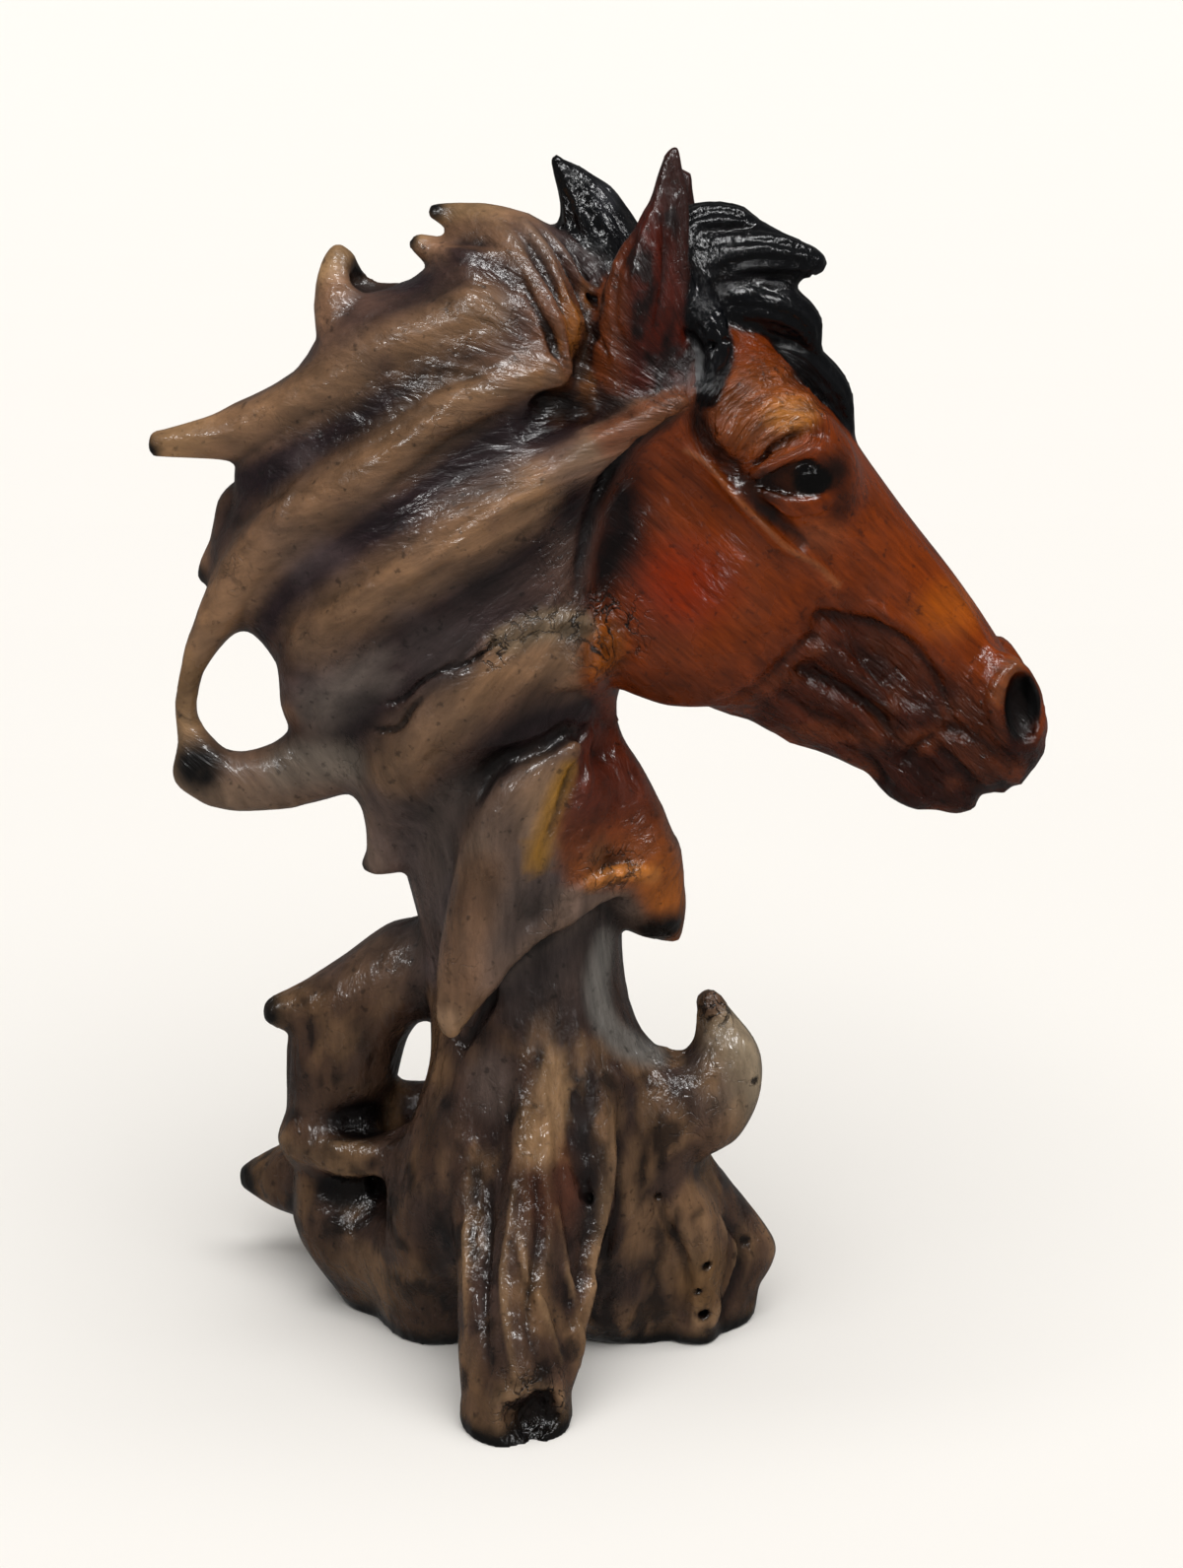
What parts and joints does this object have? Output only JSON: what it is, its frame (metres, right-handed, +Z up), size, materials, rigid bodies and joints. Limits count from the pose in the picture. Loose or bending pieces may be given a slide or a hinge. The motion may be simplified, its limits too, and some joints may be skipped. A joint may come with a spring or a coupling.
{
  "type": "horse head sculpture",
  "caption": "Cast horse head sculpture finished as driftwood, with a swept mane of pointed ridges and a root-like base, standing on its own underside.",
  "frame": {"origin": "on the floor, under the middle of the neck's root", "axes": "+Z up, +X the way the horse faces, -Y its right side, which the picture shows"},
  "size_m": [0.2392, 0.1401, 0.3305],
  "materials": {
    "varnished_driftwood": "gloss varnish over brown, tan and black paint"
  },
  "bodies": {
    "root": {"horse_head_sculpture": "varnished_driftwood"}
  },
  "joints": []
}
